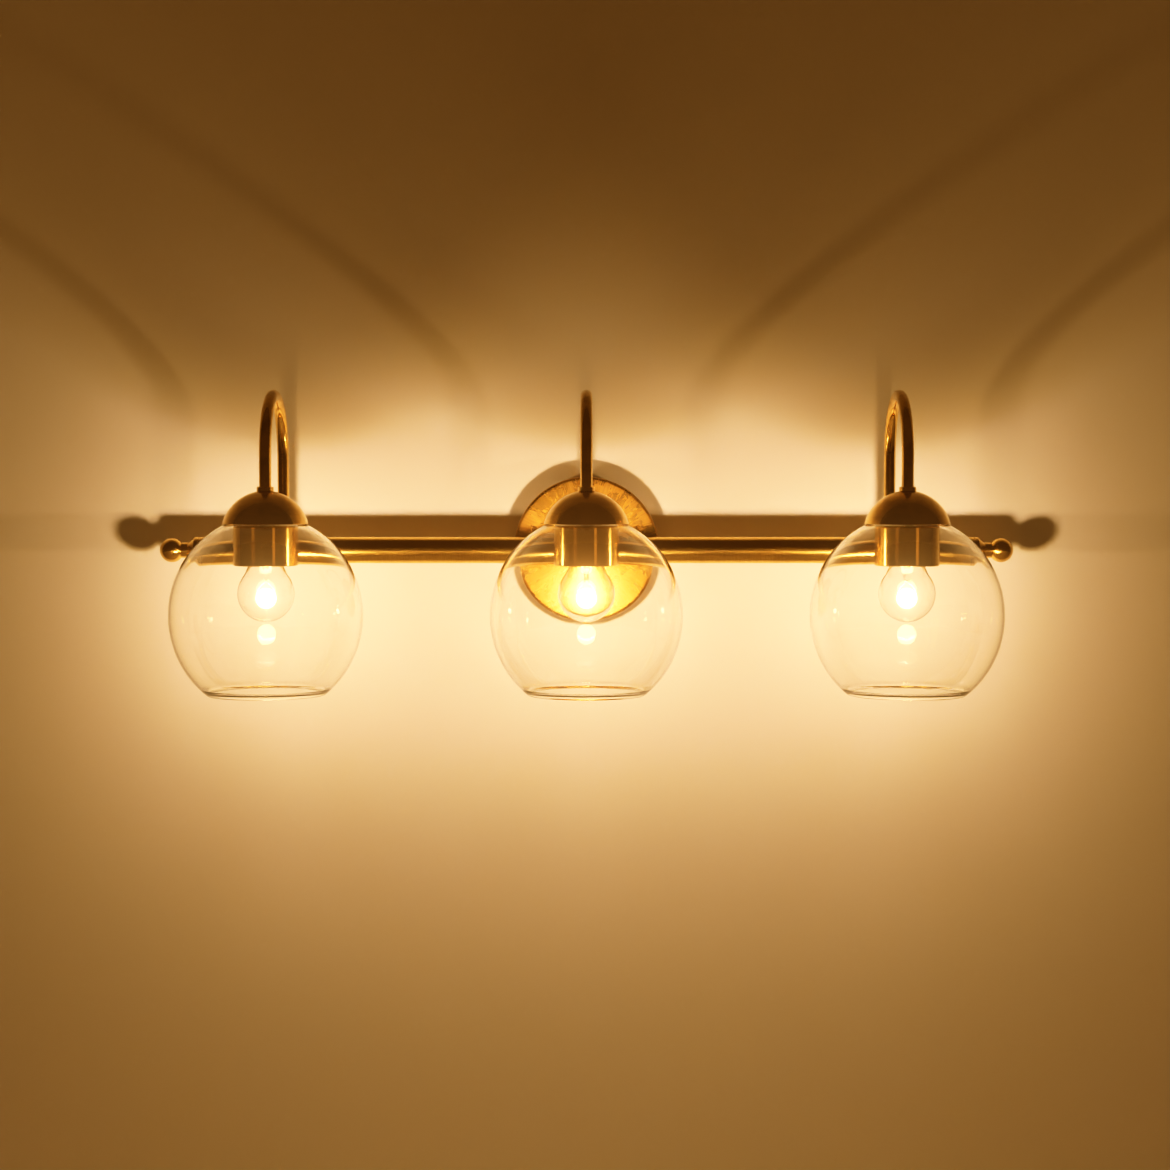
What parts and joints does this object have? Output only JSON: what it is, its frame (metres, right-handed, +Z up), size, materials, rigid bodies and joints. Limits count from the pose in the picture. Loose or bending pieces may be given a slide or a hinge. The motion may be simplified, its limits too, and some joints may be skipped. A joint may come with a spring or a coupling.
{
  "type": "vanity light bar",
  "caption": "Wall light for over a mirror: round canopy, brass tube with ball ends, goosenecks carrying domed caps, open clear glass globes and screw-in bulbs.",
  "frame": {"origin": "middle of the mounting bracket's back face, on the wall plane, level with the bar's axis", "axes": "+X along the bar to the right as seen from the room, +Y into the wall, +Z up"},
  "size_m": [0.71, 0.2128, 0.2416],
  "materials": {
    "antique_brass": "brushed antique brass, dark in the recesses, lacquered",
    "steel_hardware": "zinc-plated steel",
    "bare_brass": "plain stamped brass",
    "nickel_plate": "bright nickel plate on the bulb's screw base",
    "phenolic": "moulded black phenolic",
    "gasket": "pale silicone",
    "lead_insulation": "satin wire insulation",
    "ground_green": "green dyed screw",
    "shade_glass": "clear blown glass, polished",
    "bulb_glass": "clear bulb glass",
    "filament": "glowing warm white filament on its glass mount"
  },
  "bodies": {
    "fixture": {"canopy": "antique_brass", "canopy_screw_top": "antique_brass", "canopy_screw_bottom": "antique_brass", "stem": "antique_brass", "bar_tube": "antique_brass", "bar_end_plug_left": "antique_brass", "bar_end_plug_right": "antique_brass", "finial_left": "antique_brass", "finial_right": "antique_brass", "mounting_bracket": "steel_hardware", "ground_screw": "ground_green", "stem_nipple": "steel_hardware", "stem_locknut": "steel_hardware", "stem_washer": "steel_hardware", "arm_tube_left": "antique_brass", "arm_base_collar_left": "antique_brass", "check_ring_left": "antique_brass", "dome_cap_left": "antique_brass", "dome_locknut_left": "steel_hardware", "lampholder_left": "phenolic", "screw_shell_left": "bare_brass", "centre_contact_left": "bare_brass", "lamp_lead_left": "lead_insulation", "arm_tube_centre": "antique_brass", "arm_base_collar_centre": "antique_brass", "check_ring_centre": "antique_brass", "dome_cap_centre": "antique_brass", "dome_locknut_centre": "steel_hardware", "lampholder_centre": "phenolic", "screw_shell_centre": "bare_brass", "centre_contact_centre": "bare_brass", "lamp_lead_centre": "lead_insulation", "arm_tube_right": "antique_brass", "arm_base_collar_right": "antique_brass", "check_ring_right": "antique_brass", "dome_cap_right": "antique_brass", "dome_locknut_right": "steel_hardware", "lampholder_right": "phenolic", "screw_shell_right": "bare_brass", "centre_contact_right": "bare_brass", "lamp_lead_right": "lead_insulation"},
    "shade_left": {"glass_shade_left": "shade_glass", "shade_gasket_left": "gasket"},
    "retainer_left": {"retainer_cup_left": "antique_brass"},
    "bulb_left": {"bulb_glass_left": "bulb_glass", "bulb_base_left": "nickel_plate", "bulb_filament_left": "filament"},
    "shade_centre": {"glass_shade_centre": "shade_glass", "shade_gasket_centre": "gasket"},
    "retainer_centre": {"retainer_cup_centre": "antique_brass"},
    "bulb_centre": {"bulb_glass_centre": "bulb_glass", "bulb_base_centre": "nickel_plate", "bulb_filament_centre": "filament"},
    "shade_right": {"glass_shade_right": "shade_glass", "shade_gasket_right": "gasket"},
    "retainer_right": {"retainer_cup_right": "antique_brass"},
    "bulb_right": {"bulb_glass_right": "bulb_glass", "bulb_base_right": "nickel_plate", "bulb_filament_right": "filament"}
  },
  "joints": [
    {"name": "shade_drop_left", "type": "slide", "parent": "fixture", "child": "shade_left", "axis": [0, 0, -1], "range_m": [0, 0.012]},
    {"name": "retainer_turn_left", "type": "hinge", "parent": "shade_left", "child": "retainer_left", "pos_m": [-0.252, -0.137, 0.01], "axis": [0, 0, -1], "range_deg": [0, 2160]},
    {"name": "bulb_out_left", "type": "slide", "parent": "fixture", "child": "bulb_left", "axis": [0, 0, -1], "range_m": [0, 0.15]},
    {"name": "shade_drop_centre", "type": "slide", "parent": "fixture", "child": "shade_centre", "axis": [0, 0, -1], "range_m": [0, 0.012]},
    {"name": "retainer_turn_centre", "type": "hinge", "parent": "shade_centre", "child": "retainer_centre", "pos_m": [0, -0.137, 0.01], "axis": [0, 0, -1], "range_deg": [0, 2160]},
    {"name": "bulb_out_centre", "type": "slide", "parent": "fixture", "child": "bulb_centre", "axis": [0, 0, -1], "range_m": [0, 0.15]},
    {"name": "shade_drop_right", "type": "slide", "parent": "fixture", "child": "shade_right", "axis": [0, 0, -1], "range_m": [0, 0.012]},
    {"name": "retainer_turn_right", "type": "hinge", "parent": "shade_right", "child": "retainer_right", "pos_m": [0.252, -0.137, 0.01], "axis": [0, 0, -1], "range_deg": [0, 2160]},
    {"name": "bulb_out_right", "type": "slide", "parent": "fixture", "child": "bulb_right", "axis": [0, 0, -1], "range_m": [0, 0.15]}
  ],
  "couplings": [
    {"joint": "retainer_turn_left", "follows": "shade_drop_left", "rad_per_m": 3141.6},
    {"joint": "retainer_turn_centre", "follows": "shade_drop_centre", "rad_per_m": 3141.6},
    {"joint": "retainer_turn_right", "follows": "shade_drop_right", "rad_per_m": 3141.6}
  ]
}
